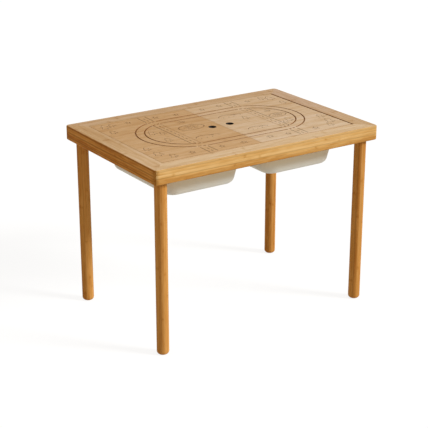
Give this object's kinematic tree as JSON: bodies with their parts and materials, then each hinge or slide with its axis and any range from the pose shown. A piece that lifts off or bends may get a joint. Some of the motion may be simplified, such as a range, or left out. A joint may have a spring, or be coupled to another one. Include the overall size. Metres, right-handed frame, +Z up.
{
  "type": "children's play table",
  "caption": "Low rectangular bamboo play table on round legs, with bins hung in the top frame under flush lift-off lids that have finger holes and a grooved toy track.",
  "frame": {"origin": "on the floor under the middle of the table", "axes": "+X along the table's length, +Y towards the back, +Z up"},
  "size_m": [0.735, 0.495, 0.535],
  "materials": {
    "frame_bamboo": "satin lacquered strand of pale bamboo strips",
    "leg_bamboo": "satin lacquered caramel bamboo, strips upright",
    "lid_bamboo": "matt sanded bamboo with dark milled grooves",
    "bin_plastic": "frosted off-white plastic",
    "dowel_wood": "plain beech",
    "zinc_steel": "bright zinc plate"
  },
  "bodies": {
    "frame": {"front_rail": "frame_bamboo", "back_rail": "frame_bamboo", "left_rail": "frame_bamboo", "right_rail": "frame_bamboo", "centre_rail": "frame_bamboo", "centre_rail_dowels": "dowel_wood", "front_left_corner_spline": "dowel_wood", "front_right_corner_spline": "dowel_wood", "back_left_corner_spline": "dowel_wood", "back_right_corner_spline": "dowel_wood", "left_bay_outer_ledge": "frame_bamboo", "left_bay_inner_ledge": "frame_bamboo", "left_bay_front_ledge": "frame_bamboo", "left_bay_back_ledge": "frame_bamboo", "right_bay_outer_ledge": "frame_bamboo", "right_bay_inner_ledge": "frame_bamboo", "right_bay_front_ledge": "frame_bamboo", "right_bay_back_ledge": "frame_bamboo", "left_bay_screws": "zinc_steel", "right_bay_screws": "zinc_steel", "front_left_leg": "leg_bamboo", "front_right_leg": "leg_bamboo", "back_left_leg": "leg_bamboo", "back_right_leg": "leg_bamboo", "front_left_leg_bolt": "zinc_steel", "front_right_leg_bolt": "zinc_steel", "back_left_leg_bolt": "zinc_steel", "back_right_leg_bolt": "zinc_steel", "front_left_leg_insert": "zinc_steel", "front_right_leg_insert": "zinc_steel", "back_left_leg_insert": "zinc_steel", "back_right_leg_insert": "zinc_steel"},
    "left_bin": {"left_bin": "bin_plastic"},
    "left_lid": {"left_lid": "lid_bamboo"},
    "right_bin": {"right_bin": "bin_plastic"},
    "right_lid": {"right_lid": "lid_bamboo"}
  },
  "joints": [
    {"name": "left_bin_lift", "type": "slide", "parent": "frame", "child": "left_bin", "axis": [0, 0, 1], "range_m": [0, 0.15]},
    {"name": "left_lid_lift", "type": "slide", "parent": "left_bin", "child": "left_lid", "axis": [0, 0, 1], "range_m": [0, 0.15]},
    {"name": "right_bin_lift", "type": "slide", "parent": "frame", "child": "right_bin", "axis": [0, 0, 1], "range_m": [0, 0.15]},
    {"name": "right_lid_lift", "type": "slide", "parent": "right_bin", "child": "right_lid", "axis": [0, 0, 1], "range_m": [0, 0.15]}
  ]
}
